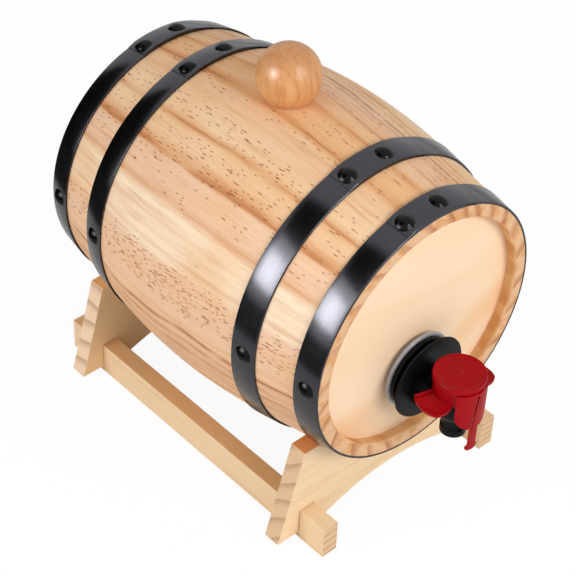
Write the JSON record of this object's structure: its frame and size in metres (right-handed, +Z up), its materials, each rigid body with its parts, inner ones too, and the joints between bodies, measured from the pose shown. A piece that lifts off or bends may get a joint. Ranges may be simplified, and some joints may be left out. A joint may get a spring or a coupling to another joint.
{
  "type": "drink dispenser cask",
  "caption": "Small countertop wooden cask on a cradle stand, with metal hoops, a ball-topped bung and a plastic press tap in the front head, for serving liquor from an inner bag.",
  "frame": {"origin": "On the standing surface, under the centre of the bounding box.", "axes": "+Z up; the cask's axis runs along Y, with the tap towards -Y; +X is to the right seen from the tap."},
  "size_m": [0.177, 0.2556, 0.2397],
  "materials": {
    "stand_pine": "bare planed pine",
    "cask_wood": "sanded, thin clear varnish",
    "head_wood": "sanded, thin clear varnish",
    "knob_wood": "glossy varnish",
    "cork": "natural cork",
    "hoop_steel": "gloss black",
    "rivet_steel": "gloss black",
    "bag_film": "silver film, filled with drink",
    "gland_plastic": "translucent grey",
    "tap_black": "satin black",
    "tap_red": "satin red",
    "stem_plastic": "natural white",
    "seal_rubber": "matt"
  },
  "bodies": {
    "stand": {"front_cradle_board": "stand_pine", "rear_cradle_board": "stand_pine", "left_rail": "stand_pine", "right_rail": "stand_pine", "stand_dowels": "stand_pine"},
    "cask": {"bung_stave": "cask_wood", "stave_02": "cask_wood", "stave_03": "cask_wood", "stave_04": "cask_wood", "stave_05": "cask_wood", "stave_06": "cask_wood", "stave_07": "cask_wood", "stave_08": "cask_wood", "stave_09": "cask_wood", "stave_10": "cask_wood", "stave_11": "cask_wood", "stave_12": "cask_wood", "stave_13": "cask_wood", "stave_14": "cask_wood", "stave_15": "cask_wood", "stave_16": "cask_wood", "stave_17": "cask_wood", "stave_18": "cask_wood", "front_head": "head_wood", "rear_head": "head_wood", "front_chime_hoop": "hoop_steel", "front_quarter_hoop": "hoop_steel", "rear_quarter_hoop": "hoop_steel", "rear_chime_hoop": "hoop_steel", "front_chime_rivets": "rivet_steel", "front_quarter_rivets": "rivet_steel", "rear_quarter_rivets": "rivet_steel", "rear_chime_rivets": "rivet_steel", "liner_bag": "bag_film", "gland_neck": "gland_plastic", "gland_ring": "gland_plastic"},
    "bung": {"bung_knob": "knob_wood", "bung_cork": "cork"},
    "tap": {"tap_body": "tap_black", "spigot_seal": "seal_rubber", "winged_collar": "tap_red", "return_dome": "seal_rubber"},
    "button": {"press_button": "tap_red", "valve_stem": "stem_plastic", "plug_seal": "seal_rubber"},
    "strip": {"tamper_strip": "tap_red"}
  },
  "joints": [
    {"name": "cask_lift", "type": "slide", "parent": "stand", "child": "cask", "axis": [0, 0, 1], "range_m": [0, 0.1]},
    {"name": "bung_lift", "type": "slide", "parent": "cask", "child": "bung", "axis": [0, 0, 1], "range_m": [0, 0.03]},
    {"name": "tap_swivel", "type": "hinge", "parent": "cask", "child": "tap", "pos_m": [0, -0.08056, 0.0946], "axis": [0, 1, 0], "continuous": true},
    {"name": "button_press", "type": "slide", "parent": "tap", "child": "button", "axis": [0, 0, -1], "range_m": [0, 0.0028], "stiffness_N_per_m": 3000, "springref_m": -0.001, "deforming": ["return_dome"]},
    {"name": "strip_pull", "type": "slide", "parent": "tap", "child": "strip", "axis": [0, -1, 0], "range_m": [0, 0.03]}
  ]
}
